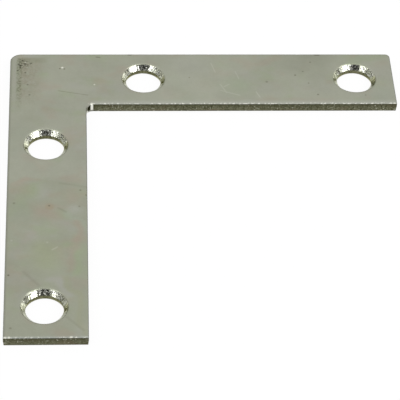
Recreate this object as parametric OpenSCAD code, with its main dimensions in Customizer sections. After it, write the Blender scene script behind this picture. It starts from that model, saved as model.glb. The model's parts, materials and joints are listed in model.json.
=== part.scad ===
// Flat corner iron: one piece of zinc-plated steel strip blanked to an L, with two
// countersunk screw holes in each arm. It lies on its plain face, with the countersinks up.
// The origin is under the middle of the square that the two arms span. One arm runs
// towards +X along the back edge, the other towards -Y along the left edge.

/* [Plate] */
// Length of each arm, along its outer edge
arm_length = 76; // [70:0.5:100]
// Width of each arm
arm_width = 15; // [13:0.5:20]
// Thickness of the steel
plate_thickness = 2; // [1.7:0.1:3]

/* [Corners in plan] */
// Radius of the outer corner, where the two arms meet
outer_corner_radius = 2.1; // [1:0.1:6]
// Radius of the fillet in the inside corner
inner_corner_radius = 1.3; // [0.8:0.1:6]
// Radius of the corner where the back edge meets the end of its arm
dressed_corner_radius = 0.9; // [0.8:0.1:4]
// Radius of the other corners at the arms' ends, which are cropped nearly sharp
cropped_corner_radius = 0.15; // [0.1:0.05:0.4]

/* [Screw holes] */
// Distance from the outer edge of an arm to the line of its holes
hole_edge_distance = 7.2; // [6:0.1:8]
// Distance from the outer corner to the first hole of an arm, along the arm
first_hole_distance = 26.3; // [20:0.1:30]
// Distance between the two holes of an arm
hole_spacing = 42; // [20:0.5:43]
// Diameter of the straight hole under the countersink
hole_diameter = 6.8; // [6.1:0.1:8]
// Diameter at which the countersink's cone would meet the face
countersink_diameter = 8.6; // [7.4:0.1:9.3]
// Angle of the countersink, from side to side
countersink_angle = 82; // [70:1:110]
// Radius of the soft lip between the cone and the face
countersink_lip_radius = 0.45; // [0.1:0.05:0.7]
// Share of the wall under the cone that stays straight, above the punch's break
hole_straight_share = 0.35; // [0.2:0.05:0.6]
// How far the break leans out from the straight wall at the plain face
hole_break_lean = 0.15; // [0.02:0.01:0.3]
// Radius of the broken edge where the hole leaves the plain face
hole_exit_radius = 0.1; // [0.05:0.01:0.2]

/* [Sheared edge] */
// Width of the shallow roll-over that the blanking die leaves round the face
roll_width = 0.5; // [0.3:0.05:0.7]
// Depth of the roll-over at the edge
roll_depth = 0.04; // [0.02:0.01:0.2]
// Height above the plain face at which the straight sheared band starts
break_height = 1.1; // [0.5:0.1:1.3]
// How far the torn band below it leans in at the plain face
break_lean = 0.1; // [0.02:0.01:0.2]
// Radius of the lowest edge, round the plain face
foot_radius = 0.25; // [0.1:0.05:0.35]

/* [Hidden] */
$fn = 96;
half_span = arm_length / 2;
hole_line = half_span - hole_edge_distance;
hole_places = [first_hole_distance, first_hole_distance + hole_spacing];
roll_radius = (roll_width * roll_width + roll_depth * roll_depth) / (2 * roll_depth);
lean_angle = atan(break_lean / break_height);
cone_half_angle = countersink_angle / 2;
cone_depth = (countersink_diameter - hole_diameter) / 2 / tan(cone_half_angle);
cone_foot_height = plate_thickness - cone_depth;
hole_break_height = cone_foot_height * (1 - hole_straight_share);
hole_break_angle = atan(hole_break_lean / hole_break_height);
// How far a cutting shape stands clear of the steel
clear = 0.4;

// Corners of the L: its point, the direction that it points to, and its radius.
outer_corner = [[-half_span, half_span], 135, outer_corner_radius];
dressed_corner = [[half_span, half_span], 45, dressed_corner_radius];
cropped_corners = [
    [[-half_span, -half_span], 225, cropped_corner_radius],
    [[arm_width - half_span, -half_span], 315, cropped_corner_radius],
    [[half_span, half_span - arm_width], 315, cropped_corner_radius],
];
inside_point = [arm_width - half_span, half_span - arm_width];

// What lies outside a round of this radius in a corner at the origin. One side of the
// corner runs along +X and the other lies "opening" degrees round from it.
module outside_round(radius, opening) {
    reach = radius / tan(opening / 2);
    side = [cos(opening), sin(opening)];
    outward = [-sin(opening), cos(opening)];
    middle = [cos(opening / 2), sin(opening / 2)];
    difference() {
        polygon([
            [reach, radius],
            [reach, 0],
            [reach, -clear],
            -middle * clear / sin(opening / 2),
            side * reach + outward * clear,
            side * reach,
        ]);
        translate([reach, radius])
            circle(radius);
    }
}

// Turns a shape drawn for a corner at the origin, whose sides run along +X and +Y, so
// that the corner points in the given direction.
module at_corner(corner)
    translate(corner[0])
        rotate(corner[1] + 135)
            children();

module outline() {
    difference() {
        union() {
            translate([-half_span, half_span - arm_width])
                square([arm_length, arm_width]);
            translate([-half_span, -half_span])
                square([arm_width, arm_length]);
            translate(inside_point)
                rotate(-90)
                    inside_fillet();
        }
        for (corner = concat([outer_corner, dressed_corner], cropped_corners))
            at_corner(corner)
                outside_round(corner[2], 90);
    }
}

// The steel that fills the inside corner, with the free space towards +X and +Y.
module inside_fillet() {
    difference() {
        translate([-clear, -clear])
            square(inner_corner_radius + clear);
        translate([inner_corner_radius, inner_corner_radius])
            circle(inner_corner_radius);
    }
}

// What the sheared edge lacks, seen along the edge: X is outwards and Y is upwards.
module edge_waste() {
    // roll-over round the face
    difference() {
        translate([-roll_width, plate_thickness - roll_depth])
            square([roll_width + clear, roll_depth + clear]);
        translate([-roll_width, plate_thickness - roll_radius])
            circle(roll_radius);
    }
    // torn band that leans in below the sheared one
    polygon([
        [0, break_height],
        [-break_lean, 0],
        [-break_lean, -clear],
        [clear, -clear],
        [clear, break_height],
    ]);
    // round foot of the torn band
    translate([-break_lean, 0])
        mirror([1, 0])
            outside_round(foot_radius, 90 + lean_angle);
}

// The waste along a straight edge that starts at the origin and runs towards -Y.
module straight_trim(length)
    rotate([90, 0, 0])
        linear_extrude(length)
            edge_waste();

// The waste round a corner with its centre at the origin, from +X to +Y.
module outer_trim(radius)
    rotate_extrude(angle = 90)
        translate([radius, 0])
            edge_waste();

// The same round the fillet of the inside corner.
module inner_trim(radius)
    rotate_extrude(angle = 90)
        translate([radius, 0])
            mirror([1, 0])
                edge_waste();

module edge_trims() {
    inner_run = arm_length - arm_width - inner_corner_radius;
    // left edge and back edge
    translate([-half_span, -half_span - clear])
        rotate(180)
            straight_trim(arm_length + clear - outer_corner_radius);
    translate([outer_corner_radius - half_span, half_span])
        rotate(90)
            straight_trim(arm_length - outer_corner_radius - dressed_corner_radius);
    // ends of the two arms
    translate([arm_width - half_span + clear, -half_span])
        rotate(270)
            straight_trim(arm_width + 2 * clear);
    translate([half_span, half_span - dressed_corner_radius])
        straight_trim(arm_width - dressed_corner_radius + clear);
    // inner edges
    translate(inside_point - [0, inner_corner_radius])
        straight_trim(inner_run + clear);
    translate(inside_point + [inner_corner_radius + inner_run + clear, 0])
        rotate(270)
            straight_trim(inner_run + clear);
    // rounded corners
    translate([outer_corner_radius - half_span, half_span - outer_corner_radius])
        rotate(90)
            outer_trim(outer_corner_radius);
    translate([half_span - dressed_corner_radius, half_span - dressed_corner_radius])
        outer_trim(dressed_corner_radius);
    translate(inside_point + [inner_corner_radius, -inner_corner_radius])
        rotate(90)
            inner_trim(inner_corner_radius);
}

// A screw hole, countersunk from the top, with its axis on the Z axis.
module screw_hole() {
    bore_radius = hole_diameter / 2;
    foot_of_break = bore_radius + hole_break_lean;
    cone_top_radius = countersink_diameter / 2;
    rotate_extrude() {
        polygon([
            [0, -clear],
            [foot_of_break, -clear],
            [foot_of_break, 0],
            [bore_radius, hole_break_height],
            [bore_radius, cone_foot_height],
            [cone_top_radius, plate_thickness],
            [cone_top_radius, plate_thickness + clear],
            [0, plate_thickness + clear],
        ]);
        translate([cone_top_radius, plate_thickness])
            mirror([0, 1])
                outside_round(countersink_lip_radius, 90 + cone_half_angle);
        translate([foot_of_break, 0])
            outside_round(hole_exit_radius, 90 + hole_break_angle);
    }
}

module screw_holes() {
    for (place = hole_places) {
        translate([place - half_span, hole_line])
            screw_hole();
        translate([-hole_line, half_span - place])
            screw_hole();
    }
}

module corner_plate() {
    color([0.61, 0.62, 0.56])
        difference() {
            linear_extrude(plate_thickness)
                outline();
            edge_trims();
            screw_holes();
        }
}

corner_plate();
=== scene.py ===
import json
import math

import bpy
import numpy as np
from mathutils import Matrix, Vector, noise
from mathutils.geometry import delaunay_2d_cdt


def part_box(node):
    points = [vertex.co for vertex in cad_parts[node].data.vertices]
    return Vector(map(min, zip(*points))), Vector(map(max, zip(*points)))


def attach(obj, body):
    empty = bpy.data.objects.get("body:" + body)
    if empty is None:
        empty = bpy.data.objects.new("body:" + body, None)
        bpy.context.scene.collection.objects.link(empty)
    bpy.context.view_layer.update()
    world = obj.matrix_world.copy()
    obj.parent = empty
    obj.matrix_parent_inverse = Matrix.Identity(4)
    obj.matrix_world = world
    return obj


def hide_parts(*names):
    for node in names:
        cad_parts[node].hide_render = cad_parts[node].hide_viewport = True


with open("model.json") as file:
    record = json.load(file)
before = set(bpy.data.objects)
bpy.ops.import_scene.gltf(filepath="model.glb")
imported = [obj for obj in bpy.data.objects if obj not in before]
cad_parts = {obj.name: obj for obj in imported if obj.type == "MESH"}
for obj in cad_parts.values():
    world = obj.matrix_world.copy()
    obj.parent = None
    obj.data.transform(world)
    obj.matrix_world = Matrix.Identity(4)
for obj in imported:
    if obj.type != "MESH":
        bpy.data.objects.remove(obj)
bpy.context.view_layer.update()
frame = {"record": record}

# A flat corner iron of zinc-plated steel. One closed skin stands for the CAD plate. It has the
# plate's sizes, and adds the work of the tools: a ragged shear crease, drag marks, pits and the
# hammered cones. Lengths are millimetres in the plate's own frame until the mesh is made.
MM = 0.001
TURN = math.tau

low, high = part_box("corner_plate")
HALF_SPAN = (high.x - low.x) / 2 / MM
THICKNESS = (high.z - low.z) / MM
BORES = [mount for mount in frame["record"]["mounts"] if mount["kind"] == "bore"]
HOLE_CENTRES = [np.array(bore["pos_m"][:2]) / MM for bore in BORES]
BORE_RADIUS = BORES[0]["dims"]["r_mm"]

# Plan of the plate
ARM_WIDTH = 15.0
OUTER_CORNER_RADIUS = 2.1
INNER_CORNER_RADIUS = 1.3
DRESSED_CORNER_RADIUS = 0.9
CROPPED_CORNER_RADIUS = 0.15
# The near arm's inner edge lies at x = INNER_EDGE, and the far arm's at y = -INNER_EDGE.
INNER_EDGE = ARM_WIDTH - HALF_SPAN

# Section of the sheared edge
ROLL_WIDTH = 0.5
ROLL_DEPTH = 0.04
CREASE_RADIUS = 0.1
BREAK_HEIGHT = 1.1
BREAK_LEAN = 0.1
FOOT_RADIUS = 0.25

# Section of a screw hole
COUNTERSINK_RADIUS = 4.3
CONE_HALF_ANGLE = math.radians(41)
LIP_RADIUS = 0.45
LIP_TURN = TURN / 4 - CONE_HALF_ANGLE
RIM_RADIUS = COUNTERSINK_RADIUS + LIP_RADIUS * math.tan(LIP_TURN / 2)
WAIST_RADIUS = 0.06
STRAIGHT_SHARE = 0.35
HOLE_BREAK_LEAN = 0.15
EXIT_RADIUS = 0.1

# Density of the skin
OUTLINE_STEP = 0.25
HOLE_SAMPLES = 192
FACE_STEP = 1.0
PITTED_STEP = 0.3
# The rings round the outline and the holes reach so far over the flat of the face.
FLAT_MARGIN = 1.0
HOLE_MARGIN = 0.8

# Zones of the skin, in the order of its materials
FACE, PRESSED, SHEARED, PUNCHED = range(4)


# ---------------------------------------------------------------- relief

def hum(points, pitch, seed):
    """Smooth noise from -1 to 1 at each point. pitch is its size in mm, one number or x, y, z."""
    scaled = points / np.array(pitch, float) + seed
    return np.array([noise.noise(Vector(p)) for p in scaled])


def cells(points, pitch, seed):
    """Distance to the middle of the nearest cell, from 0 to about 1. The cells lie a pitch apart."""
    scaled = points / pitch + seed
    return np.array([noise.voronoi(Vector(p))[0][0] for p in scaled])


def ease(values, start, end):
    """0 up to start, 1 from end, and smooth between them."""
    share = np.clip((values - start) / (end - start), 0, 1)
    return share * share * (3 - 2 * share)


def no_relief(points):
    return np.zeros(len(points))


def crease_relief(points):
    """The crease between face and sheared wall is ragged, with short nicks."""
    waviness, nick_depth = 0.012, 0.03
    ragged = 0.5 + 0.5 * hum(points, pitch=0.9, seed=3.1)
    nicks = ease(hum(points, pitch=0.55, seed=8.7), 0.35, 0.7)
    return waviness * ragged + nick_depth * nicks


def shear_relief(points):
    """Drag lines of the punch, upright and fine."""
    depth = 0.007
    return depth + depth * hum(points, pitch=(0.45, 0.45, 3.0), seed=5.3)


def tear_relief(points):
    """The torn band breaks in flakes, which are longer upright than along the edge."""
    flake_depth, lump_depth, foot_height = 0.03, 0.02, 0.4
    flakes = 0.5 + 0.5 * hum(points, pitch=(0.5, 0.5, 0.9), seed=1.7)
    lumps = 0.5 + 0.5 * hum(points, pitch=1.6, seed=6.2)
    above_foot = ease(points[:, 2], 0.0, foot_height)
    return above_foot * (flake_depth * flakes * flakes + lump_depth * lumps)


def hammered_relief(points):
    """The pressed cone holds the small dimples of a worn punch."""
    dimple_depth, wave_depth = 0.035, 0.012
    dimples = np.minimum(cells(points, pitch=0.42, seed=2.4), 1)
    waves = hum(points, pitch=1.1, seed=4.4)
    return dimple_depth * (1 - dimples) + wave_depth * (1 + waves)


def land_relief(points):
    """The straight wall of a hole and its break are a little wavy."""
    depth = 0.012
    return depth + depth * hum(points, pitch=(0.5, 0.5, 1.6), seed=9.3)


# ---------------------------------------------------------------- outline of the plate

def plate_corners():
    """The L's corners, anticlockwise from the outer one: point, radius, whether it is convex."""
    outer, inner = HALF_SPAN, INNER_EDGE
    return [
        ((-outer, outer), OUTER_CORNER_RADIUS, True),
        ((-outer, -outer), CROPPED_CORNER_RADIUS, True),
        ((inner, -outer), CROPPED_CORNER_RADIUS, True),
        ((inner, -inner), INNER_CORNER_RADIUS, False),
        ((outer, -inner), CROPPED_CORNER_RADIUS, True),
        ((outer, outer), DRESSED_CORNER_RADIUS, True),
    ]


class Outline:
    """The L with rounded corners, as the same samples at every inset.

    directions holds the outward direction at each sample, and travelled the way to it round the L.
    """

    LEAST_RADIUS = 0.04
    LEAST_ARC_STEPS = 5
    # Samples lie closer round the corners than along the sides, by this factor.
    ARC_DENSITY = 1.6

    def __init__(self, corners, step):
        self.corners = corners
        points = np.array([point for point, _, _ in corners])
        travel = np.roll(points, -1, 0) - points
        lengths = np.linalg.norm(travel, axis=1)
        ways = travel / lengths[:, None]
        self.outward = np.stack([ways[:, 1], -ways[:, 0]], 1)
        arc_step = step / self.ARC_DENSITY
        self.arc_steps = [
            max(self.LEAST_ARC_STEPS, round(radius * TURN / 4 / arc_step)) for _, radius, _ in corners
        ]
        self.run_steps = [round(length / step) for length in lengths]
        self.directions = np.concatenate([self._normals(i) for i in range(len(corners))])
        ring = self.at(0)
        gaps = np.linalg.norm(np.roll(ring, -1, 0) - ring, axis=1)
        self.travelled = np.concatenate([[0], np.cumsum(gaps)])

    def _arc_normals(self, i):
        """Outward directions round corner i, from the side before it to the side after it."""
        before, after = self.outward[i - 1], self.outward[i]
        angles = np.linspace(0, TURN / 4, self.arc_steps[i] + 1)[:, None]
        return before * np.cos(angles) + after * np.sin(angles)

    def _normals(self, i):
        """Outward directions round corner i and along the side after it."""
        run = np.repeat(self.outward[i][None], self.run_steps[i] - 1, 0)
        return np.concatenate([self._arc_normals(i), run])

    def _arc(self, i, inset):
        """The samples round corner i, moved inwards by inset."""
        point, radius, convex = self.corners[i]
        both = self.outward[i - 1] + self.outward[i]
        moved = np.array(point) - inset * both
        if convex:
            rho = max(radius - inset, self.LEAST_RADIUS)
            return moved - rho * both + rho * self._arc_normals(i)
        rho = radius + inset
        return moved + rho * both - rho * self._arc_normals(i)

    def at(self, inset):
        """The sampled outline, moved inwards by inset."""
        arcs = [self._arc(i, inset) for i in range(len(self.corners))]
        parts = []
        for i, arc in enumerate(arcs):
            start, end = arc[-1], arcs[(i + 1) % len(arcs)][0]
            share = np.linspace(0, 1, self.run_steps[i] + 1)[1:-1, None]
            parts += [arc, start + (end - start) * share]
        return np.concatenate(parts)


# ---------------------------------------------------------------- sections
# A row is (distance inwards or radius, height, direction out of the steel, relief, zone below it).
# One more row on the flat, so far from a bend, keeps the flat's shading flat.
FACE_GUARD = 0.2
BACK_GUARD = 0.3
EXIT_GUARD = 0.4


def arc_rows(centre, radius, start, end, steps, relief, zone):
    """Rows round an arc of the edge's section. Angles run from upright, outwards and down."""
    rows = []
    for angle in np.linspace(start, end, steps + 1):
        out, up = math.sin(angle), math.cos(angle)
        rows.append((centre[0] - radius * out, centre[1] + radius * up, (out, up), relief, zone))
    return rows


def wall_rows(start, end, steps, relief, zone):
    """Rows down a straight wall, without its two ends."""
    run = np.array(end) - np.array(start)
    length = np.linalg.norm(run)
    out, up = -run[1] / length, -run[0] / length
    return [
        (*(np.array(start) + run * share), (out, up), relief, zone)
        for share in np.linspace(0, 1, steps + 1)[1:-1]
    ]


def spread(start, end, steps):
    """Places along a straight, from one step past its start to its end."""
    return [
        (start[0] + (end[0] - start[0]) * share, start[1] + (end[1] - start[1]) * share)
        for share in np.linspace(0, 1, steps + 1)[1:]
    ]


def edge_section():
    """The blanked edge from the flat of the face, over roll, sheared and torn band, to the back."""
    roll_radius = (ROLL_WIDTH**2 + ROLL_DEPTH**2) / (2 * ROLL_DEPTH)
    roll_centre = (ROLL_WIDTH, THICKNESS - roll_radius)
    reach = roll_radius - CREASE_RADIUS
    crease_angle = math.asin((ROLL_WIDTH - CREASE_RADIUS) / reach)
    crease_centre = (CREASE_RADIUS, roll_centre[1] + reach * math.cos(crease_angle))
    lean = math.atan(BREAK_LEAN / BREAK_HEIGHT)
    foot_centre = (BREAK_LEAN + FOOT_RADIUS / math.tan(TURN / 8 + lean / 2), FOOT_RADIUS)
    crease_side = TURN / 12
    foot = arc_rows(foot_centre, FOOT_RADIUS, TURN / 4 + lean, TURN / 2, 4, tear_relief, SHEARED)
    up, down = (0, 1), (0, -1)
    return [
        (FLAT_MARGIN, THICKNESS, up, no_relief, FACE),
        (FLAT_MARGIN - FACE_GUARD, THICKNESS, up, no_relief, FACE),
        *arc_rows(roll_centre, roll_radius, 0, crease_angle, 4, no_relief, FACE)[:-1],
        *arc_rows(crease_centre, CREASE_RADIUS, crease_angle, crease_side, 2, crease_relief, FACE)[:-1],
        *arc_rows(crease_centre, CREASE_RADIUS, crease_side, TURN / 4, 4, crease_relief, SHEARED),
        *wall_rows((0, crease_centre[1]), (0, BREAK_HEIGHT), 6, shear_relief, SHEARED),
        (0, BREAK_HEIGHT, (1, 0), shear_relief, SHEARED),
        *wall_rows((0, BREAK_HEIGHT), foot[0][:2], 7, tear_relief, SHEARED),
        *foot[:-1],
        foot[-1][:3] + (no_relief, FACE),
        (foot_centre[0] + BACK_GUARD, 0, down, no_relief, FACE),
        (FLAT_MARGIN, 0, down, no_relief, FACE),
    ]


def hole_section():
    """A countersunk hole from the face, over lip, cone and straight wall, to the back."""
    half = CONE_HALF_ANGLE
    lip = [
        (RIM_RADIUS - LIP_RADIUS * math.sin(a), THICKNESS - LIP_RADIUS * (1 - math.cos(a)),
         (math.sin(a), math.cos(a)))
        for a in np.linspace(0, LIP_TURN, 4)
    ]
    waist_height = THICKNESS - (COUNTERSINK_RADIUS - BORE_RADIUS) / math.tan(half)
    waist_reach = WAIST_RADIUS * math.tan(half / 2)
    cone_end = (BORE_RADIUS + waist_reach * math.sin(half), waist_height + waist_reach * math.cos(half))
    cone = [(*place, (math.cos(half), math.sin(half))) for place in spread(lip[-1], cone_end, 9)]
    break_height = waist_height * (1 - STRAIGHT_SHARE)
    lean = math.atan(HOLE_BREAK_LEAN / break_height)
    heights = np.linspace(waist_height - waist_reach, break_height, 3)
    wall = [(BORE_RADIUS, height, (1, 0)) for height in heights]
    exit_start = EXIT_RADIUS * math.tan((TURN / 4 - lean) / 2)
    exit_centre = (BORE_RADIUS + HOLE_BREAK_LEAN + exit_start, EXIT_RADIUS)
    leave = [
        (exit_centre[0] - EXIT_RADIUS * math.cos(a), exit_centre[1] - EXIT_RADIUS * math.sin(a),
         (math.cos(a), -math.sin(a)))
        for a in np.linspace(lean, TURN / 4, 4)
    ]
    broken = [(*place, (math.cos(lean), -math.sin(lean))) for place in spread(wall[-1], leave[0], 4)[:-1]]
    up, down = (0, 1), (0, -1)
    return [
        (RIM_RADIUS + HOLE_MARGIN, THICKNESS, up, no_relief, FACE),
        (RIM_RADIUS + HOLE_MARGIN / 2, THICKNESS, up, no_relief, FACE),
        *[row + (no_relief, FACE) for row in lip[:-1]],
        lip[-1] + (hammered_relief, PRESSED),
        *[row + (hammered_relief, PRESSED) for row in cone[:-1]],
        cone[-1] + (land_relief, PUNCHED),
        *[row + (land_relief, PUNCHED) for row in wall + broken + leave[:-1]],
        leave[-1] + (no_relief, FACE),
        (leave[-1][0] + EXIT_GUARD, 0, down, no_relief, FACE),
        (RIM_RADIUS + HOLE_MARGIN, 0, down, no_relief, FACE),
    ]


# ---------------------------------------------------------------- UV map
# The two faces nest as two Ls, and the edge and the holes lie as strips between their arms.

NEST_GAP = 1.0
NEST = ARM_WIDTH + NEST_GAP
MAP_MARGIN = 0.5
MAP_SIDE = 2 * HALF_SPAN + NEST + 2 * MAP_MARGIN
STRIP_GAP = 0.5
# The edge's strip is cut into so many lengths, and the holes' strips are drawn so much larger.
EDGE_STRIPS = 6
HOLE_STRETCH = 2.0


def on_top(point):
    """Where a point of the face lies on the map."""
    return (point[0] + HALF_SPAN + MAP_MARGIN, point[1] + HALF_SPAN + NEST + MAP_MARGIN)


def on_back(point):
    """Where a point of the plain side lies on the map."""
    return (HALF_SPAN - point[1] + NEST + MAP_MARGIN, HALF_SPAN - point[0] + MAP_MARGIN)


def section_lengths(section):
    """How far along the section each row lies."""
    places = np.array([row[:2] for row in section], float)
    return np.concatenate([[0], np.cumsum(np.linalg.norm(np.diff(places, axis=0), axis=1))])


# ---------------------------------------------------------------- the skin

# Points this close count as one, and as on a line
SLACK = 1e-6


class Skin:
    """Points, faces, the finish of each face and its place on the UV map."""

    # Two rows belong to a flat where their upright parts agree by more than this.
    LEVEL = 0.9
    # What delaunay_2d_cdt gives back: only the triangles inside the rings
    INSIDE_ONLY = 1

    def __init__(self):
        self.points = []
        self.faces = []
        self.zones = []
        self.places = []

    def add_points(self, points):
        first = len(self.points)
        self.points += [tuple(point) for point in points]
        return np.arange(first, len(self.points))

    def add_face(self, corners, zone, places):
        self.faces.append(tuple(int(corner) for corner in corners))
        self.zones.append(zone)
        self.places += [(u / MAP_SIDE, v / MAP_SIDE) for u, v in places]

    def add_rings(self, section, ring_at, directions, strip_place):
        """Sweeps a section round a closed ring. Returns its first and its last ring."""
        rings = []
        for distance, height, (out, rise), relief, _ in section:
            flat = ring_at(distance)
            points = np.column_stack([flat, np.full(len(flat), height)])
            normals = np.column_stack([directions * out, np.full(len(flat), rise)])
            rings.append(self.add_points(points - normals * relief(points)[:, None]))
        for j in range(len(section) - 1):
            upper, lower = rings[j], rings[j + 1]
            zone, up = section[j][4], section[j][2][1]
            level = up * section[j + 1][2][1] > self.LEVEL
            for i in range(len(upper)):
                k = (i + 1) % len(upper)
                corners = (upper[i], lower[i], lower[k], upper[k])
                if level:
                    flat_place = on_top if up > 0 else on_back
                    places = [flat_place(self.points[corner]) for corner in corners]
                else:
                    places = [strip_place(i, step, row) for step, row in
                              ((0, j), (0, j + 1), (1, j + 1), (1, j))]
                self.add_face(corners, zone, places)
        return rings[0], rings[-1]

    def fill(self, rings, inner_points, height_of, flat_place, upwards):
        """Fills the face between the outline's ring and the holes' rings."""
        plan, edges, owners = [], [], []
        for ring in rings:
            first = len(plan)
            plan += [Vector(self.points[i][:2]) for i in ring]
            owners += list(ring)
            edges += [(first + i, first + (i + 1) % len(ring)) for i in range(len(ring))]
        heights = height_of(inner_points)
        owners += list(self.add_points(np.column_stack([inner_points, heights])))
        plan += [Vector(point) for point in inner_points]
        found, _, triangles, origins, _, _ = delaunay_2d_cdt(plan, edges, [], self.INSIDE_ONLY, SLACK)
        for triangle in triangles:
            middle = sum((found[i] for i in triangle), Vector((0, 0))) / 3
            if not clear_of_holes(np.array(middle)[None], HOLE_MARGIN)[0]:
                continue
            corners = [owners[origins[i][0]] for i in triangle]
            if not upwards:
                corners.reverse()
            self.add_face(corners, FACE, [flat_place(self.points[i]) for i in corners])


def clear_of_holes(points, margin):
    """Which points lie farther than the margin from every hole's rim."""
    gaps = [np.linalg.norm(points - centre, axis=1) - RIM_RADIUS - margin for centre in HOLE_CENTRES]
    return np.min(gaps, axis=0) > -SLACK


def in_face(points, margin, hole_margin):
    """Which points lie on the flat of the L, clear of its outline and of its holes."""
    x, y = points[:, 0], points[:, 1]
    edge = HALF_SPAN - margin
    inner = INNER_EDGE - margin
    inside = (np.abs(x) < edge) & (np.abs(y) < edge) & ((x < inner) | (y > -inner))
    cut_corner = (2 - math.sqrt(2)) * (OUTER_CORNER_RADIUS - margin)
    inside &= np.abs(x) + np.abs(y) < 2 * edge - cut_corner
    return inside & clear_of_holes(points, hole_margin)


def scattered(step, seed, area=None):
    """Points about a step apart over the face, or over one area (x0, y0, x1, y1) of it."""
    row_pitch, jitter, clearance = 0.87 * step, 0.15, 0.55 * step
    x0, y0, x1, y1 = area or (-HALF_SPAN, -HALF_SPAN, HALF_SPAN, HALF_SPAN)
    xs, ys = np.meshgrid(np.arange(x0, x1, step), np.arange(y0, y1, row_pitch))
    xs = xs + (np.arange(len(ys)) % 2 * step / 2)[:, None]
    points = np.column_stack([xs.ravel(), ys.ravel()])
    points += np.random.default_rng(seed).uniform(-jitter, jitter, points.shape) * step
    return points[in_face(points, FLAT_MARGIN + clearance, HOLE_MARGIN + clearance)]


# The face is pitted along its left side, next to the outer corner: x0, y0, x1, y1.
PITTED_AREA = (-37, 21, -33.5, 37)
PIT_DEPTH = 0.04


def pit_depths(points):
    """How deep the face is pitted at each point."""
    spots = np.column_stack([points, np.zeros(len(points))])
    x0, y0, x1, _ = PITTED_AREA
    left_fade, right_fade, front_fade = 0.5, 2.2, 6
    across = ease(points[:, 0], x1, x1 - right_fade) * ease(points[:, 0], x0, x0 + left_fade)
    along = ease(points[:, 1], y0, y0 + front_fade)
    deep = ease(hum(spots, pitch=0.5, seed=2.2), 0.1, 0.5)
    return PIT_DEPTH * across * along * deep


def face_points():
    """Points over the face, close together where it is pitted."""
    fine = scattered(PITTED_STEP, seed=1, area=PITTED_AREA)
    coarse = scattered(FACE_STEP, seed=2)
    _, y0, x1, _ = PITTED_AREA
    gap = 0.4
    outside = (coarse[:, 0] > x1 + gap) | (coarse[:, 1] < y0 - gap)
    return np.concatenate([fine, coarse[outside]])


def make_skin():
    """The edge's section round the outline, a hole's round each hole, and the two faces between."""
    skin = Skin()
    outline = Outline(plate_corners(), OUTLINE_STEP)
    edge = edge_section()
    edge_lengths = section_lengths(edge)
    per_strip = math.ceil(len(outline.directions) / EDGE_STRIPS)
    strip_corner = 2 * ARM_WIDTH + NEST_GAP + 3 * MAP_MARGIN

    def edge_place(i, step, row):
        strip = i // per_strip
        u = outline.travelled[i + step] - outline.travelled[strip * per_strip]
        v = edge_lengths[row] + strip * (edge_lengths[-1] + STRIP_GAP)
        return (strip_corner + u, MAP_MARGIN + v)

    top_ring, back_ring = skin.add_rings(edge, outline.at, outline.directions, edge_place)
    tops, backs = [top_ring], [back_ring]

    hole = hole_section()
    hole_lengths = section_lengths(hole) * HOLE_STRETCH
    turns = np.linspace(0, TURN, HOLE_SAMPLES, endpoint=False)
    around = np.column_stack([np.cos(turns), -np.sin(turns)])
    first_strip = MAP_MARGIN + EDGE_STRIPS * (edge_lengths[-1] + STRIP_GAP)
    for n, centre in enumerate(HOLE_CENTRES):
        def hole_place(i, step, row, n=n):
            u = (i + step) / HOLE_SAMPLES * TURN * BORE_RADIUS * HOLE_STRETCH
            v = hole_lengths[row] + n * (hole_lengths[-1] + STRIP_GAP)
            return (strip_corner + u, first_strip + v)

        def hole_ring(radius, centre=centre):
            return centre + around * radius

        top_ring, back_ring = skin.add_rings(hole, hole_ring, -around, hole_place)
        tops.append(top_ring)
        backs.append(back_ring)

    skin.fill(tops, face_points(), lambda p: THICKNESS - pit_depths(p), on_top, True)
    skin.fill(backs, scattered(FACE_STEP, seed=3), lambda p: np.zeros(len(p)), on_back, False)
    return skin


def make_plate(materials):
    """The skin as a mesh in metres that stands for the CAD plate."""
    skin = make_skin()
    mesh = bpy.data.meshes.new("plate")
    mesh.from_pydata([tuple(c * MM for c in point) for point in skin.points], [], skin.faces)
    mesh.polygons.foreach_set("material_index", skin.zones)
    uv_map = mesh.uv_layers.new(name="OFBake")
    uv_map.uv.foreach_set("vector", np.array(skin.places, np.float32).ravel())
    for material in materials:
        mesh.materials.append(material)
    mesh.shade_smooth()
    plate = bpy.data.objects.new("plate", mesh)
    bpy.context.scene.collection.objects.link(plate)
    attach(plate, "root")
    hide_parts("corner_plate")
    return plate


# ---------------------------------------------------------------- materials
# Places are millimetres in the plate's frame, so that each mark stays at its place on the steel.

# Colours of the zinc and of the thin stains in its film
GREY = (0.366, 0.377, 0.304)
OLIVE = (0.342, 0.356, 0.279)
GREEN = (0.325, 0.375, 0.247)
PINK = (0.372, 0.325, 0.26)
LAVENDER = (0.378, 0.381, 0.333)

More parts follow.
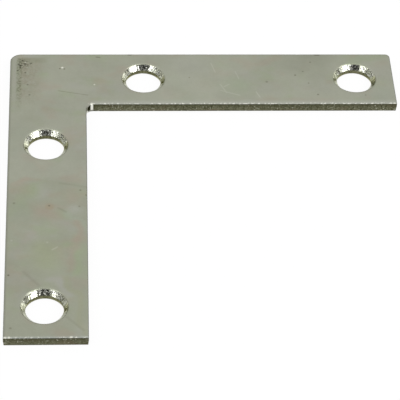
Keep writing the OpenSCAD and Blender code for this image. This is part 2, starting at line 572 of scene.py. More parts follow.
# Where the film dried in blots: (place, radius, share, colour)
BLOTS = [
    ((-33.1, -1.7), 3.0, 0.64, GREEN),
    ((-35.2, -5.0), 3.8, 0.64, GREEN),
    ((-30.6, -6.6), 4.2, 0.72, PINK),
    ((-25.6, -2.8), 3.5, 0.48, PINK),
    ((-31.1, -1.9), 2.2, 0.56, LAVENDER),
    ((-33.3, -13.5), 3.0, 0.56, LAVENDER),
    ((-31.0, -17.5), 5.5, 0.72, (0.342, 0.368, 0.246)),
    ((-26.8, -15.2), 2.0, 0.56, GREEN),
    ((6.4, 28.5), 4.2, 0.8, (0.34, 0.395, 0.275)),
    ((0.6, 28.6), 3.2, 0.4, PINK),
    ((-1.4, 34.0), 5.0, 0.64, LAVENDER),
    ((16.5, 28.6), 3.2, 0.48, OLIVE),
    ((22.0, 35.0), 6.2, 0.4, OLIVE),
    ((-5.7, 29.5), 4.0, 0.6, (0.37, 0.402, 0.318)),
    ((36.5, 32.5), 5.0, 0.64, (0.345, 0.35, 0.29)),
    ((35.0, 25.5), 5.0, 0.6, (0.338, 0.358, 0.293)),
    ((-33.8, 19.0), 4.0, 0.6, (0.335, 0.345, 0.268)),
    ((-1.0, 29.0), 17.0, 0.7, (0.388, 0.4, 0.324)),
    ((22.0, 37.5), 9.0, 1.0, (0.315, 0.325, 0.257)),
    ((-25.0, -6.0), 2.8, 0.9, (0.39, 0.4, 0.34)),
    ((-35.6, -7.0), 3.5, 0.6, (0.335, 0.36, 0.285)),
    ((-35.6, -25.5), 3.5, 0.6, (0.33, 0.34, 0.27)),
    ((-25.6, -19.5), 3.5, 0.5, (0.33, 0.35, 0.275)),
    ((-37.0, 13.0), 7.0, 0.8, (0.343, 0.362, 0.288)),
]
# and in bands: (start, end, half width, share, colour)
BANDS = [
    ((-36.4, 0.3), (-34.6, 1.7), 1.2, 0.45, PINK),
    ((-34.6, 1.7), (-32.1, 2.1), 1.2, 0.38, PINK),
    ((-32.1, 2.1), (-28.0, 0.9), 1.0, 0.45, (0.335, 0.345, 0.265)),
    ((-28.0, 0.9), (-23.0, -0.2), 1.0, 0.52, (0.33, 0.345, 0.265)),
    ((-26.8, -6.8), (-24.0, -9.9), 1.4, 0.6, (0.362, 0.395, 0.312)),
    ((-24.9, -9.9), (-25.1, -13.7), 1.3, 0.6, PINK),
    ((-25.1, -13.7), (-26.6, -21.3), 1.4, 0.5, PINK),
    ((-24.9, -17.0), (-25.2, -22.5), 1.2, 0.6, GREEN),
    ((-30.7, -23.7), (-28.0, -24.0), 1.3, 0.68, LAVENDER),
    ((-28.0, -24.0), (-26.3, -27.5), 1.3, 0.68, LAVENDER),
    ((-26.8, -23.4), (-25.0, -27.5), 1.2, 0.6, (0.34, 0.35, 0.25)),
    ((-25.0, -27.5), (-23.9, -36.2), 1.2, 0.6, (0.34, 0.35, 0.25)),
    ((-37.3, -19.1), (-34.8, -21.6), 1.3, 0.45, (0.335, 0.335, 0.262)),
    ((-34.8, -21.6), (-31.8, -25.4), 1.3, 0.45, (0.335, 0.335, 0.27)),
]

# Marks on the face: (start, end, half width, strength) of each line
DARK_LINES = [
    ((-28.5, 27.0), (-22.7, 25.7), 0.13, 0.5),
    ((-28.4, -5.7), (-27.0, -6.7), 0.35, 0.2),
    ((-26.8, -33.1), (-23.9, -36.2), 0.4, 0.16),
    ((-28.0, 0.9), (-23.0, -0.2), 0.4, 0.1),
    ((-34.6, -22.0), (-31.8, -25.4), 0.45, 0.16),
    ((23.0, 37.75), (23.7, 37.75), 0.35, 0.9),
    ((-20.9, 37.1), (-20.3, 37.0), 0.3, 0.6),
    ((-14.5, 37.75), (-14.0, 37.75), 0.3, 0.6),
]
BRIGHT_LINES = [
    ((1.9, 35.2), (2.6, 32.5), 0.16, 0.15),
    ((6.6, 32.7), (7.2, 30.6), 0.16, 0.15),
    ((3.4, 28.9), (4.6, 26.4), 0.2, 0.14),
    ((5.2, 28.9), (4.2, 28.2), 0.2, 0.14),
    ((3.5, 27.0), (7.1, 25.6), 0.2, 0.14),
    ((10.4, 26.6), (11.1, 25.0), 0.16, 0.2),
    ((-29.5, -16.5), (-28.6, -15.8), 0.25, 0.15),
]
# Specks: (place, radius, strength) of each
DARK_SPECKS = [
    ((18.5, 31.6), 0.28, 0.8),
    ((20.1, 32.7), 0.25, 0.6),
    ((12.7, 29.6), 0.4, 0.5),
    ((21.0, 29.2), 0.25, 0.6),
    ((22.6, 25.8), 0.3, 0.7),
    ((21.8, 35.5), 0.3, 0.5),
    ((32.0, 25.6), 0.25, 0.5),
    ((-2.6, 30.9), 0.25, 0.5),
    ((-36.6, -4.4), 0.35, 0.5),
    ((-24.3, -1.0), 0.3, 0.6),
    ((-23.2, -2.3), 0.3, 0.6),
    ((-24.5, -5.3), 0.3, 0.4),
    ((-37.3, -22.8), 0.3, 0.9),
    ((-36.7, -35.6), 0.35, 0.5),
    ((-30.1, -5.1), 0.3, 0.7),
    ((-28.2, 33.6), 0.25, 0.9),
    ((-27.3, 33.5), 0.25, 0.9),
]
# and of the soil in the pitted corner
SOIL_SPECKS = [
    ((-35.6, 36.0), 0.3, 0.9),
    ((-36.1, 35.7), 0.25, 0.7),
    ((-36.4, 34.9), 0.25, 0.7),
    ((-36.0, 34.5), 0.35, 1.0),
    ((-35.7, 34.6), 0.25, 0.9),
    ((-36.0, 33.9), 0.25, 0.9),
    ((-35.1, 34.9), 0.35, 0.7),
    ((-33.9, 35.2), 0.3, 0.7),
    ((-36.5, 33.0), 0.3, 0.8),
    ((-35.0, 32.4), 0.3, 0.6),
    ((-34.5, 28.8), 0.3, 0.5),
    ((-34.1, 25.8), 0.3, 0.5),
]
RUST_SPECK = ((-30.0, -5.4), 1.2, 0.5)
WORST_SOIL = ((-35.3, 35.0), 1.9, 1.0)
# Bright specks on the face, and painted glints where the edges that look to the front are burred: at the
# inside corner, at the near end and on the far arm's inner edge
BRIGHT_SPECKS_AND_GLINTS = [
    ((-27.7, 33.9), 0.35, 1.0),
    ((-21.4, 28.8), 0.25, 0.7),
    ((-30.4, -14.6), 0.35, 0.12),
    ((-36.9, -14.1), 0.35, 0.12),
    ((-35.0, 35.5), 0.25, 0.5),
    ((-21.95, 23.15), 0.45, 1.0),
    ((-37.6, -37.85), 0.4, 1.0),
    ((-36.9, -37.8), 0.35, 1.0),
    ((-26.1, -37.85), 0.4, 1.0),
    ((-25.2, -37.9), 0.3, 0.9),
    ((33.1, 23.1), 0.35, 0.9),
    ((37.5, 23.1), 0.4, 0.9),
]


class Paint:
    """One metal. Its helpers take numbers or sockets, and give a socket."""

    # Share of a line's or a speck's half width over which it keeps its full strength
    LINE_CORE = 0.2
    SPECK_CORE = 0.3

    def __init__(self, name):
        self.material = bpy.data.materials.new(name)
        self.material.use_nodes = True
        self.nodes = self.material.node_tree.nodes
        self.links = self.material.node_tree.links
        self.shader = self.nodes["Principled BSDF"]
        self.shader.inputs["Metallic"].default_value = 1
        where = self.nodes.new("ShaderNodeTexCoord").outputs["Object"]
        self.place = self.vector("MULTIPLY", where, (1 / MM, 1 / MM, 1 / MM))
        axes = self.nodes.new("ShaderNodeSeparateXYZ")
        self.feed(axes.inputs[0], self.place)
        self.x, self.y, self.z = axes.outputs
        self.bent = self.place
        self.colour = None

    def feed(self, socket, value):
        if isinstance(value, bpy.types.NodeSocket):
            self.links.new(value, socket)
        else:
            socket.default_value = value

    def node(self, kind, inputs, output=0, **settings):
        node = self.nodes.new(kind)
        for name, value in settings.items():
            setattr(node, name, value)
        for key, value in inputs.items():
            self.feed(node.inputs[key], value)
        return node.outputs[output]

    def math(self, operation, *values):
        return self.node("ShaderNodeMath", dict(enumerate(values)), operation=operation)

    def vector(self, operation, *values):
        output = "Value" if operation in ("DOT_PRODUCT", "LENGTH") else "Vector"
        return self.node("ShaderNodeVectorMath", dict(enumerate(values)), output, operation=operation)

    def noise(self, pitch, detail, shift):
        """Noise from 0 to 1. pitch is its size in mm, one number or x, y, z."""
        sizes = pitch if isinstance(pitch, tuple) else (pitch, pitch, pitch)
        scaled = self.vector("MULTIPLY_ADD", self.place, [1 / size for size in sizes], (shift, shift, shift))
        return self.node("ShaderNodeTexNoise", {"Vector": scaled, "Scale": 1.0, "Detail": detail})

    def ease(self, value, start, end, low=0.0, high=1.0):
        """Runs smoothly from low at start to high at end."""
        inputs = {"Value": value, "From Min": start, "From Max": end, "To Min": low, "To Max": high}
        return self.node("ShaderNodeMapRange", inputs, interpolation_type="SMOOTHSTEP")

    def mottle(self, pitch, start, end, low=0.0, high=1.0, detail=2, shift=0.0):
        """Patches: low where the noise is under start, and high where it is over end."""
        return self.ease(self.noise(pitch, detail, shift), start, end, low, high)

    def window(self, value, start, end, soft):
        """1 between start and end, 0 outside, soft over the given width."""
        rise = self.ease(value, start - soft / 2, start + soft / 2)
        fall = self.ease(value, end - soft / 2, end + soft / 2, 1.0, 0.0)
        return self.math("MULTIPLY", rise, fall)

    def fold(self, operation, masks):
        result = masks[0]
        for mask in masks[1:]:
            result = self.math(operation, result, mask)
        return result

    def both(self, *masks):
        """The product of masks and numbers."""
        return self.fold("MULTIPLY", masks)

    def either(self, *masks):
        """The stronger of masks."""
        return self.fold("MAXIMUM", masks)

    def beyond(self, mask):
        """A mask of what another mask leaves out."""
        return self.math("SUBTRACT", 1.0, mask)

    def blend(self, share, a, b):
        """Colour a, or b where share is 1."""
        a, b = [(*c, 1) if isinstance(c, tuple) else c for c in (a, b)]
        return self.node("ShaderNodeMix", {0: share, 6: a, 7: b}, 2, data_type="RGBA")

    def coat(self, share, colour):
        """Covers what is painted so far with a colour, by the share."""
        self.colour = self.blend(share, self.colour, colour)

    def dim(self, factor):
        """Multiplies what is painted so far by the factor."""
        self.colour = self.vector("SCALE", self.colour, (0, 0, 0), (0, 0, 0), factor)

    def bend(self, pitch, reach):
        """Makes blots and bands wander by up to the reach."""
        scaled = self.vector("MULTIPLY", self.place, (1 / pitch, 1 / pitch, 1 / pitch))
        swirl = self.node("ShaderNodeTexNoise", {"Vector": scaled, "Scale": 1.0, "Detail": 1.0}, 1)
        away = self.vector("MULTIPLY_ADD", swirl, (4 * reach, 4 * reach, 0), (-2 * reach, -2 * reach, 0))
        self.bent = self.vector("ADD", self.place, away)

    def from_place(self, place, bent=False):
        """The way to here from a place on the face, in plan."""
        where = self.bent if bent else self.place
        return self.vector("MULTIPLY_ADD", where, (1, 1, 0), (-place[0], -place[1], 0))

    def line(self, start, end, half_width, strength, bent=False):
        """A mask of a line on the face, which fades to its sides."""
        run = Vector((end[0] - start[0], end[1] - start[1], 0))
        flat = self.from_place(start, bent)
        share = self.vector("DOT_PRODUCT", flat, run / run.length_squared)
        share = self.node("ShaderNodeClamp", {"Value": share})
        nearest = self.node("ShaderNodeVectorMath", {0: tuple(run), "Scale": share}, operation="SCALE")
        gap = self.vector("LENGTH", self.vector("SUBTRACT", flat, nearest))
        core = 0 if bent else half_width * self.LINE_CORE
        return self.ease(gap, core, half_width, strength, 0.0)

    def speck(self, place, radius, strength, bent=False):
        """A mask of a round speck on the face, which fades to its rim."""
        gap = self.vector("LENGTH", self.from_place(place, bent))
        core = 0 if bent else radius * self.SPECK_CORE
        return self.ease(gap, core, radius, strength, 0.0)

    def lines(self, marks):
        return self.either(*[self.line(*mark) for mark in marks])

    def specks(self, marks):
        return self.either(*[self.speck(*mark) for mark in marks])

    def round_holes(self, offset, radius, soft):
        """A mask of a round patch at the same offset from the axis of each hole."""
        patches = []
        for centre in HOLE_CENTRES:
            gap = self.vector("LENGTH", self.from_place(centre + offset))
            patches.append(self.ease(gap, radius - soft / 2, radius + soft / 2, 1.0, 0.0))
        return self.either(*patches)

    def finish(self, roughness, height, strength):
        """Joins the colour, the roughness and the fine height (in mm) to the shader."""
        self.feed(self.shader.inputs["Base Color"], self.colour)
        self.feed(self.shader.inputs["Roughness"], roughness)
        inputs = {"Height": height, "Distance": MM, "Strength": strength}
        self.feed(self.shader.inputs["Normal"], self.node("ShaderNodeBump", inputs))
        return self.material


# Colours along the edges: painted shade on the roll, a darker left line, painted highlights on the front
# strips, and a painted highlight for burred edges and the inside corner
PAINTED_ROLL_SHADE = (0.23, 0.232, 0.215)
DULL_LINE = (0.285, 0.293, 0.235)
PAINTED_FRONT_HIGHLIGHT = (0.43, 0.442, 0.385)
PAINTED_END_HIGHLIGHT = (0.42, 0.448, 0.42)
PAINTED_HIGHLIGHT = (0.85, 0.85, 0.78)

# Colours of the soil and of the marks; the bright mark is also the colour of painted glints
HAZE = (0.325, 0.312, 0.24)
BACK_HAZE = (0.285, 0.292, 0.212)
CLEAN_STRIP = (0.37, 0.375, 0.31)
COLUMN = (0.28, 0.29, 0.2)
GRIME = (0.16, 0.165, 0.105)
THIN_GRIME = (0.2, 0.19, 0.13)
CAKED_SOIL = (0.1, 0.1, 0.065)
SOIL = (0.07, 0.07, 0.045)
RUST_STAIN = (0.36, 0.29, 0.2)
DARK_MARK = (0.17, 0.165, 0.12)
BRIGHT_MARK_AND_GLINT = (0.75, 0.75, 0.66)


def lay_film(paint):
    """The clear film: grey and olive areas, stains in blots and bands, faint clouds and grain."""
    paint.bend(5, 1.0)
    near_arm = paint.ease(paint.y, 3.5, -1.0)
    outer_corner = paint.both(paint.ease(paint.x, -28, -34), paint.ease(paint.y, 16, 24), 0.5)
    back_edge = paint.ease(paint.y, 31, 37, high=0.5)
    paint.colour = paint.blend(paint.either(near_arm, outer_corner, back_edge), GREY, OLIVE)
    for tint, shift in ((GREEN, 3.3), (PINK, 11.7), (LAVENDER, 17.1)):
        paint.coat(paint.mottle((5, 4, 5), 0.48, 0.72, high=0.45, shift=shift), tint)
    for place, radius, share, tint in BLOTS:
        paint.coat(paint.speck(place, radius, share, bent=True), tint)
    for start, end, half_width, share, tint in BANDS:
        paint.coat(paint.line(start, end, half_width, share, bent=True), tint)
    clouds = paint.mottle(6, 0.3, 0.7, low=0.965, high=1.035, detail=4, shift=21.1)
    grain = paint.mottle((0.5, 0.35, 0.5), 0.3, 0.7, low=0.987, high=1.013, detail=3, shift=7.9)
    paint.dim(paint.both(clouds, grain))


def paint_edge_shade_and_highlights(paint):
    """Painted shade where the edges roll over, a darker line along the left edge, and painted highlights
    along the edges that look to the front.
    """
    round_rims = paint.round_holes((0, 0), 5.2, soft=0.3)
    # Painted shade on the rolled face along the outline, away from the holes; it darkens the deepest pits
    # too
    rolled = paint.both(paint.ease(paint.z, THICKNESS - 0.012, THICKNESS - ROLL_DEPTH, high=0.8),
                        paint.beyond(round_rims))
    paint.coat(rolled, PAINTED_ROLL_SHADE)
    # a darker line along the left edge
    paint.coat(paint.ease(paint.x, 0.5 - HALF_SPAN, 0.25 - HALF_SPAN, high=0.8), DULL_LINE)
    # painted highlights on the strips along the edges that look to the front
    front_highlight = paint.both(paint.ease(paint.x, INNER_EDGE, INNER_EDGE + 2),
                             paint.ease(paint.y, 1.6 - INNER_EDGE, -INNER_EDGE))
    paint.coat(front_highlight, PAINTED_FRONT_HIGHLIGHT)
    paint.coat(paint.ease(paint.y, 0.7 - HALF_SPAN, 0.1 - HALF_SPAN, high=0.6), PAINTED_END_HIGHLIGHT)


def soil_corner(paint):
    """Soil in the pitted corner: a mottled column beside the left edge, and a haze next to it."""
    along = paint.both(paint.ease(paint.y, 20, 30), paint.ease(paint.y, 37.2, 36.5))
    haze = paint.both(paint.ease(paint.x, -36.6, -35.6), paint.ease(paint.x, -30.5, -34.5), along,
                      paint.mottle(0.9, 0.34, 0.62, low=0.3, high=0.85, detail=3, shift=8.2))
    paint.coat(haze, HAZE)
    back_haze = paint.both(paint.window(paint.y, 35.3, 36.9, soft=0.9),
                           paint.window(paint.x, -35.9, -31.0, soft=2.0), 0.6)
    paint.coat(back_haze, BACK_HAZE)
    paint.coat(paint.both(paint.window(paint.x, -37.5, -36.8, soft=0.2), along, 0.8), CLEAN_STRIP)
    column = paint.both(paint.window(paint.x, -36.65, -35.7, soft=0.5), along)
    paint.coat(paint.both(column, 0.35), COLUMN)
    grime = paint.mottle(0.32, 0.46, 0.6, shift=2.2)
    paint.coat(paint.both(column, grime, 0.65), GRIME)
    paint.coat(paint.both(haze, grime, 0.3), THIN_GRIME)
    caked = paint.both(paint.speck(*WORST_SOIL), paint.mottle(0.35, 0.5, 0.58, detail=1, shift=5.1), 0.7)
    paint.coat(caked, CAKED_SOIL)


def zinc_face():
    """Cold-rolled strip under clear zinc: satin, faintly clouded, scratched and a little soiled, with
    painted shade, highlights and glints along its edges.
    """
    paint = Paint("zinc_face")
    lay_film(paint)
    film = paint.colour
    # painted shade and highlights along the edges
    paint_edge_shade_and_highlights(paint)
    soil_corner(paint)

    # single marks
    paint.coat(paint.speck(*RUST_SPECK), RUST_STAIN)
    paint.coat(paint.specks(SOIL_SPECKS), SOIL)
    dark = paint.either(paint.lines(DARK_LINES), paint.specks(DARK_SPECKS))
    paint.coat(dark, DARK_MARK)
    # bright scratches and specks, and painted glints on burred edges
    paint.coat(paint.either(paint.lines(BRIGHT_LINES), paint.specks(BRIGHT_SPECKS_AND_GLINTS)), BRIGHT_MARK_AND_GLINT)

    # painted highlight: glints where the burred edges look to the front
    far_arm = paint.both(paint.ease(paint.x, INNER_EDGE, INNER_EDGE + 1),
                         paint.ease(paint.y, 0.5 - INNER_EDGE, 0.25 - INNER_EDGE))
    near_end = paint.ease(paint.y, 0.5 - HALF_SPAN, 0.25 - HALF_SPAN)
    burr_glints = paint.both(paint.either(far_arm, near_end),
                       paint.mottle(0.36, 0.54, 0.64, detail=1, shift=13.3),
                       paint.ease(paint.y, 1 - HALF_SPAN, 2 - HALF_SPAN, low=0.45, high=0.85))
    paint.coat(burr_glints, PAINTED_HIGHLIGHT)

    # the plain side has the film alone
    upper = paint.ease(paint.z, THICKNESS / 2 - 0.1, THICKNESS / 2 + 0.1)
    paint.colour = paint.blend(upper, film, paint.colour)

    mark_height = -0.006
    satin = paint.noise((0.35, 0.25, 0.35), detail=3, shift=41.3)
    height = paint.math("MULTIPLY_ADD", paint.both(dark, upper), mark_height, satin)
    rough = paint.mottle(1.5, 0.3, 0.7, low=0.36, high=0.44, detail=3, shift=31.7)
    return paint.finish(rough, height, 0.0025)


# Colours of the zinc in the cones, and of the painted reflections on them
PRESSED_ZINC = (0.5, 0.512, 0.45)
STAINED_ZINC = (0.44, 0.455, 0.355)
PAINTED_LEFT_HIGHLIGHT = (0.76, 0.77, 0.65)
PAINTED_RIGHT_REFLECTION = (0.64, 0.64, 0.42)
PAINTED_DARK_REFLECTION = (0.1, 0.1, 0.085)
PAINTED_BRIGHT_GLINT = (0.78, 0.79, 0.72)


def pressed_cone():
    """The countersink is pressed bright by its punch, and hammered in small dimples, with painted
    reflections on its sides and back.
    """
    paint = Paint("pressed_cone")
    stain = paint.mottle(0.9, 0.4, 0.65, shift=4.7)
    paint.colour = paint.blend(stain, PRESSED_ZINC, STAINED_ZINC)
    paint.dim(paint.mottle(0.24, 0.38, 0.6, low=0.3, high=1.25, detail=1, shift=22.4))

    # painted reflections: a light one on the left side of each hole, an olive one on the right, and a dark
    # one with bright glints at the back
    left, right, back = (-4.0, -0.5), (4.0, -0.2), (-0.05, 3.8)
    paint.coat(paint.both(paint.round_holes(left, 1.4, soft=1.4), 0.8), PAINTED_LEFT_HIGHLIGHT)
    paint.coat(paint.both(paint.round_holes(right, 0.9, soft=1.0), 0.7), PAINTED_RIGHT_REFLECTION)
    # painted dark reflection at the back of each cone, blotched with painted bright glints
    reflection_patch = paint.round_holes(back, 1.05, soft=0.6)
    blotches = paint.mottle(0.36, 0.46, 0.55, detail=1, shift=8.5)
    paint.coat(paint.both(reflection_patch, 0.9), paint.blend(blotches, PAINTED_DARK_REFLECTION, PAINTED_BRIGHT_GLINT))

    rough = paint.mottle(0.5, 0.3, 0.7, low=0.06, high=0.14, shift=17.9)
    paint.shader.inputs["Specular Tint"].default_value = (0.78, 0.79, 0.7, 1)
    # the dimples' bump is stronger where the dark reflection is painted
    depth = paint.math("MULTIPLY_ADD", reflection_patch, 2.4, 1.0)
    height = paint.both(paint.noise(0.28, detail=1, shift=9.1), depth)
    return paint.finish(rough, height, 0.085)


# Colours of the bare steel in the holes and round the outline, of the painted shade along its foot and of
# its painted sparkle
DRAG_DARK = (0.085, 0.085, 0.042)
DRAG_LIGHT = (0.16, 0.16, 0.095)
GRAIN_DARK = (0.052, 0.053, 0.026)
GRAIN_LIGHT = (0.205, 0.206, 0.138)
RUSTY = (0.14, 0.115, 0.075)
UNDER_CREASE = (0.068, 0.069, 0.036)
CREASE_LINE = (0.045, 0.045, 0.035)
PAINTED_FOOT_SHADE = (0.055, 0.05, 0.033)
PAINTED_SPARKLE = (0.7, 0.7, 0.6)

# Colours of the fillet in the inside corner, and of its painted highlights and painted shade
FILLET = (0.3, 0.3, 0.26)
PAINTED_LIP_HIGHLIGHT = (0.45, 0.45, 0.38)
PAINTED_FOOT_HIGHLIGHT = (0.9, 0.9, 0.86)
PAINTED_NEAR_SHADE = (0.02, 0.021, 0.012)
PAINTED_FAR_SHADE = (0.045, 0.047, 0.02)


def punched_wall():
    """The wall of a hole: dull olive steel, smooth enough to shine where it is seen along."""
    paint = Paint("punched_wall")
    drags = paint.mottle((0.3, 0.3, 1.6), 0.36, 0.64, detail=3, shift=6.1)
    paint.colour = paint.blend(drags, DRAG_DARK, DRAG_LIGHT)
    rough = paint.ease(drags, 0.0, 1.0, low=0.16, high=0.1)
    paint.shader.inputs["Specular Tint"].default_value = (0.85, 0.85, 0.65, 1)
    return paint.finish(rough, paint.noise((0.2, 0.2, 1.0), detail=2, shift=3.7), 0.01)


def paint_fillet_light_and_shade(paint, foot):
    """The inside corner: painted highlights on its lip and foot, and a painted reflection in a bright band
    between two patches of painted shade; painted shade along the foot of the rest of the sheared edge.
    """
    past = paint.math("SUBTRACT", paint.x, INNER_EDGE)
    here = paint.both(paint.window(past, -0.5, 2.0, soft=0.1),
                      paint.window(paint.y, -INNER_EDGE - 1.2, -INNER_EDGE + 0.4, soft=0.2))

    def part(start, end, soft):
        """The corner's wall between two distances past the near arm's edge."""
        return paint.both(here, paint.window(past, start, end, soft))

    paint.coat(part(-0.5, 1.35, 0.15), FILLET)
    # painted highlight on the lip
    paint.coat(part(-0.5, 0.2, 0.1), PAINTED_LIP_HIGHLIGHT)
    # painted shade in a slanting patch of the near hollow
    slant = paint.ease(paint.math("MULTIPLY_ADD", past, -0.9, paint.z), 1.4, 1.2)
    paint.coat(paint.both(part(0.2, 0.8, 0.1), slant, paint.ease(paint.z, 0.35, 0.6)), PAINTED_NEAR_SHADE)
    # painted shade in the far hollow
    paint.coat(paint.both(part(1.38, 1.75, 0.15), 0.6), PAINTED_FAR_SHADE)
    # painted reflection in the bright band between the hollows
    paint.coat(paint.both(part(0.83, 1.28, 0.12), paint.ease(paint.z, 0.4, 0.65)), PAINTED_HIGHLIGHT)
    # painted shade along the foot, outside the corner's front part
    paint.coat(paint.both(foot, paint.beyond(part(-0.5, 0.9, 0.2))), PAINTED_FOOT_SHADE)
    # painted highlight at the foot of the corner
    paint.coat(paint.both(part(-0.5, 0.3, 0.1), paint.ease(paint.z, 0.75, 0.6)), PAINTED_FOOT_HIGHLIGHT)


def sheared_edge():
    """Bare sheared and torn steel: a dull olive grain, darker under the crease, with painted shade along the
    foot, painted sparkle and the painted light and shade of the inside corner.
    """
    paint = Paint("sheared_edge")
    grain = paint.mottle(0.22, 0.41, 0.59, shift=6.1)
    drags = paint.mottle((0.4, 0.4, 2.5), 0.36, 0.64, shift=16.1)
    grain_share = 0.75
    share = paint.math("MULTIPLY_ADD", grain, grain_share, paint.both(drags, 1 - grain_share))
    calm = paint.ease(paint.y, 2.0 - HALF_SPAN, 0.5 - HALF_SPAN, low=1.0, high=0.6)
    share = paint.math("MULTIPLY_ADD", paint.math("SUBTRACT", share, 0.5), calm, 0.5)
    paint.colour = paint.blend(share, GRAIN_DARK, GRAIN_LIGHT)
    paint.coat(paint.mottle((3, 3, 1.5), 0.54, 0.66, high=0.5, detail=3, shift=27.3), RUSTY)
    paint.coat(paint.ease(paint.z, 0.8, 1.75, high=0.65), UNDER_CREASE)
    paint.coat(paint.ease(paint.z, 1.84, 1.92, high=0.8), CREASE_LINE)
    # painted light and shade in the inside corner, and painted shade along the foot
    paint_fillet_light_and_shade(paint, paint.ease(paint.z, 0.34, 0.12, high=0.7))
    # painted sparkle: glints on the grain, weaker near the near end
    sparkle_glints = paint.mottle((0.3, 0.3, 0.25), 0.72, 0.78, detail=0, shift=15.3)
    paint.coat(paint.both(sparkle_glints, calm, 0.7), PAINTED_SPARKLE)
    rough = paint.ease(drags, 0.0, 1.0, low=0.5, high=0.42)
    paint.shader.inputs["Specular Tint"].default_value = (0.5, 0.5, 0.4, 1)
    height = paint.both(paint.noise((0.15, 0.15, 0.3), detail=3, shift=3.7), calm)
    return paint.finish(rough, height, 0.02)


# ---------------------------------------------------------------- studio

def make_camera():
    """Looks down on the face from the front, a little to the left of the middle."""
    azimuth = math.radians(4.754)
    elevation = math.radians(44.34)
    roll = math.radians(3.084)
    distance = 0.39692
    middle = (low + high) / 2
    left_of_middle = 0.00205
    before_middle = 0.00376
    aim = Vector((middle.x - left_of_middle, middle.y - before_middle, high.z))
    forward = Vector((math.sin(azimuth) * math.cos(elevation),
                      math.cos(azimuth) * math.cos(elevation),
                      -math.sin(elevation)))
    level = forward.cross(Vector((0, 0, 1))).normalized()
    above = level.cross(forward)
    right = level * math.cos(roll) + above * math.sin(roll)
    up = right.cross(forward)
    axes = Matrix((right, up, -forward)).transposed()
    data = bpy.data.cameras.new("camera")
    data.lens = 191.6
    data.sensor_width = 36
    data.clip_start = 0.01
    camera = bpy.data.objects.new("camera", data)
    camera.matrix_world = Matrix.Translation(aim - forward * distance) @ axes.to_4x4()
    bpy.context.scene.collection.objects.link(camera)
    bpy.context.scene.camera = camera


def from_front(azimuth, elevation, distance):
    """A place that far from the plate. Azimuth turns from the front towards +X, in degrees."""
    a, e = math.radians(azimuth), math.radians(elevation)
    return Vector((math.sin(a) * math.cos(e), -math.cos(a) * math.cos(e), math.sin(e))) * distance


# Softboxes: name, azimuth, elevation, size, power
SOFTBOX_DISTANCE = 1.2
SOFTBOXES = [
    ("left_softbox", -45, 40, (0.6, 0.7), 3.6),
    ("right_softbox", 53.5, 40, (0.87, 0.7), 8),
    ("right_fill", 119, 7, (0.65, 0.4), 1.0),
    ("left_fill", -119, 8, (0.6, 0.4), 0.45),
]


def make_softbox(name, azimuth, elevation, size, power):
    data = bpy.data.lights.new(name, "AREA")
    data.shape = "RECTANGLE"
    data.size, data.size_y = size
    data.energy = power
    lamp = bpy.data.objects.new(name, data)
    lamp.location = from_front(azimuth, elevation, SOFTBOX_DISTANCE)
    lamp.rotation_euler = (-lamp.location).to_track_quat("-Z", "Y").to_euler()
    bpy.context.scene.collection.objects.link(lamp)


def make_rectangle(name, width, height):
    """A flat rectangle round its own middle."""
    mesh = bpy.data.meshes.new(name)
    x, y = width / 2, height / 2
    mesh.from_pydata([(-x, -y, 0), (x, -y, 0), (x, y, 0), (-x, y, 0)], [], [(0, 1, 2, 3)])
    rectangle = bpy.data.objects.new(name, mesh)
    bpy.context.scene.collection.objects.link(rectangle)
    return rectangle


def matt_material(name, shade):
    material = bpy.data.materials.new(name)
    material.use_nodes = True
    shader = material.node_tree.nodes["Principled BSDF"]
    shader.inputs["Base Color"].default_value = (shade, shade, shade, 1)
    shader.inputs["Roughness"].default_value = 0.9
    return material


def make_flag():
    """A dark card above the camera that the bright cones mirror. The camera doesn't see it."""
    flag = make_rectangle("flag", 0.98, 0.55)
    flag.location = from_front(-1, 45, 1.0)
    flag.rotation_euler = flag.location.to_track_quat("Z", "Y").to_euler()
    flag.data.materials.append(matt_material("flag", 0.17))
    flag.visible_camera = False
    flag.visible_shadow = False


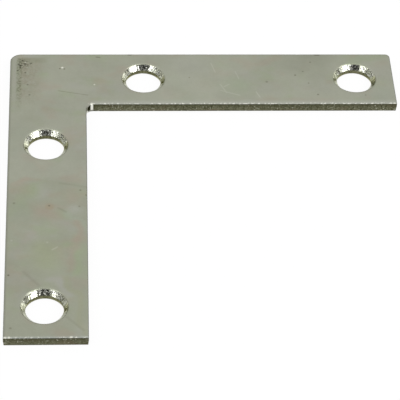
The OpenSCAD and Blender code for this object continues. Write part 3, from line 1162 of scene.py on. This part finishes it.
def make_floor():
    """A pale floor that shows white, with a trace of the plate's shadow."""
    side = 6.0
    white_share = 0.95
    floor = make_rectangle("floor", side, side)
    material = matt_material("pale_floor", 0.85)
    nodes, links = material.node_tree.nodes, material.node_tree.links
    path = nodes.new("ShaderNodeLightPath")
    seen = path.outputs["Is Camera Ray"]
    for ray in ("Is Glossy Ray", "Is Transmission Ray"):
        either = nodes.new("ShaderNodeMath")
        either.operation = "MAXIMUM"
        links.new(seen, either.inputs[0])
        links.new(path.outputs[ray], either.inputs[1])
        seen = either.outputs[0]
    share = nodes.new("ShaderNodeMath")
    share.operation = "MULTIPLY"
    links.new(seen, share.inputs[0])
    share.inputs[1].default_value = white_share
    white = nodes.new("ShaderNodeEmission")
    mix = nodes.new("ShaderNodeMixShader")
    links.new(share.outputs[0], mix.inputs[0])
    links.new(nodes["Principled BSDF"].outputs[0], mix.inputs[1])
    links.new(white.outputs[0], mix.inputs[2])
    links.new(mix.outputs[0], nodes["Material Output"].inputs["Surface"])
    floor.data.materials.append(material)


def make_world():
    """Soft light from all sides, weaker towards the horizon."""
    horizon = (0.3, 0.29, 0.24, 1)
    sky = (0.96, 0.96, 0.96, 1)
    world = bpy.data.worlds.new("studio")
    bpy.context.scene.world = world
    world.use_nodes = True
    nodes, links = world.node_tree.nodes, world.node_tree.links
    way = nodes.new("ShaderNodeSeparateXYZ")
    links.new(nodes.new("ShaderNodeTexCoord").outputs["Generated"], way.inputs[0])
    rise = nodes.new("ShaderNodeMapRange")
    rise.interpolation_type = "SMOOTHSTEP"
    rise.inputs["From Min"].default_value = 0.05
    rise.inputs["From Max"].default_value = 0.6
    links.new(way.outputs["Z"], rise.inputs["Value"])
    mix = nodes.new("ShaderNodeMix")
    mix.data_type = "RGBA"
    mix.inputs[6].default_value = horizon
    mix.inputs[7].default_value = sky
    links.new(rise.outputs[0], mix.inputs[0])
    links.new(mix.outputs[2], nodes["Background"].inputs["Color"])


make_camera()
make_floor()
make_world()
for softbox in SOFTBOXES:
    make_softbox(*softbox)
make_flag()
make_plate([zinc_face(), pressed_cone(), sheared_edge(), punched_wall()])

bpy.context.scene.view_settings.view_transform = "Standard"
